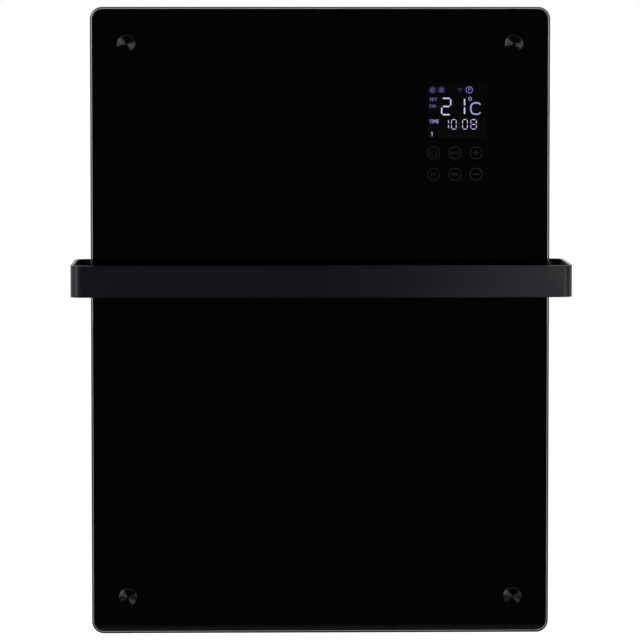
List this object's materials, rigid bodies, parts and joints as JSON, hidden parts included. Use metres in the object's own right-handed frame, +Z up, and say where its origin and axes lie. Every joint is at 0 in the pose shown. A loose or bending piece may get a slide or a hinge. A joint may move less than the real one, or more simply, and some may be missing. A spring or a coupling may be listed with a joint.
{
  "type": "convector heater",
  "caption": "Slim wall-hung electric convector heater: black glass front on round caps, lit touch display, steel case with grilles, and a flat strap towel rail bent round it.",
  "frame": {"origin": "centre of the four wall-screw holes, on the wall's surface, which is also level with the centre of the glass", "axes": "+Z up, +X to the viewer's right, +Y into the wall, so the glass front faces -Y"},
  "size_m": [0.49, 0.13, 0.623],
  "materials": {
    "bracket_paint": "satin black powder coat on folded steel",
    "case_paint": "fine-texture black powder coat",
    "zinc_steel": "bright zinc plating",
    "grille_paint": "satin black powder coat",
    "black_rubber": "matt moulded rubber",
    "black_nylon": "fine moulded grain",
    "clear_glass": "toughened float glass, polished edge",
    "black_enamel": "fired black enamel, smooth",
    "grey_silicone": "matt silicone",
    "natural_nylon": "natural nylon",
    "turned_cap": "dark plating over a turned face",
    "rail_paint": "satin black coat on a bent strap",
    "black_abs": "fine moulded grain",
    "display_face": "dark filter over lit segments",
    "circuit_board": "green solder resist",
    "spring_steel": "plated spring wire",
    "module_shield": "tinned shield can",
    "brass_pillar": "bright brass",
    "relay_plastic": "moulded blue case",
    "transformer_wrap": "polyester tape over a ferrite core",
    "capacitor_sleeve": "shrunk sleeve",
    "white_ceramic": "unglazed steatite",
    "terminal_plastic": "moulded green plastic",
    "element_aluminium": "bare extruded aluminium",
    "galvanised_steel": "galvanised sheet",
    "bright_aluminium": "bright rolled sheet",
    "brown_phenolic": "moulded phenolic",
    "earth_brass": "bright brass",
    "rocker_plastic": "polished moulding",
    "lead_sleeve": "silicone insulation in a glass-fibre sleeve",
    "cable_jacket": "pale grey PVC jacket",
    "tinned_brass": "tinned brass tabs"
  },
  "bodies": {
    "bracket": {"wall_bracket": "bracket_paint", "bracket_straps": "bracket_paint"},
    "heater": {"rear_panel": "case_paint", "front_case": "case_paint", "case_screws": "zinc_steel", "outlet_grille": "grille_paint", "inlet_grille": "grille_paint", "wall_buffers": "black_rubber", "cable_gland": "black_nylon", "gland_nut": "black_nylon", "glass_panel": "clear_glass", "glass_enamel": "black_enamel", "glass_studs": "zinc_steel", "stud_nuts": "zinc_steel", "standoff_rings": "grey_silicone", "glass_bushes": "natural_nylon", "cap_washers": "black_rubber", "glass_caps": "turned_cap", "towel_rail": "rail_paint", "rail_screws": "zinc_steel", "rail_nuts": "zinc_steel", "display_housing": "black_abs", "display_module": "display_face", "display_board": "circuit_board", "touch_springs": "spring_steel", "display_screws": "zinc_steel", "wireless_module": "module_shield", "power_board": "circuit_board", "board_pillars": "brass_pillar", "board_screws": "zinc_steel", "relay": "relay_plastic", "transformer": "transformer_wrap", "capacitor": "capacitor_sleeve", "fuse": "white_ceramic", "terminal_block": "terminal_plastic", "heating_element": "element_aluminium", "element_insulators": "white_ceramic", "element_brackets": "galvanised_steel", "bracket_screws": "zinc_steel", "heat_shield": "bright_aluminium", "thermal_cutout": "brown_phenolic", "cutout_bracket": "galvanised_steel", "temperature_sensor": "black_nylon", "sensor_clip": "galvanised_steel", "earth_screw": "earth_brass", "switch_body": "black_nylon", "switch_terminals": "tinned_brass", "inner_leads": "lead_sleeve", "display_cable": "cable_jacket"},
    "rocker": {"switch_rocker": "rocker_plastic"}
  },
  "joints": [
    {"name": "lift_off", "type": "slide", "parent": "bracket", "child": "heater", "axis": [0, 0, 1], "range_m": [0, 0.012]},
    {"name": "rocker_tip", "type": "hinge", "parent": "heater", "child": "rocker", "pos_m": [0.2065, -0.0346, -0.238], "axis": [0, 1, 0], "range_deg": [0, 16]}
  ]
}
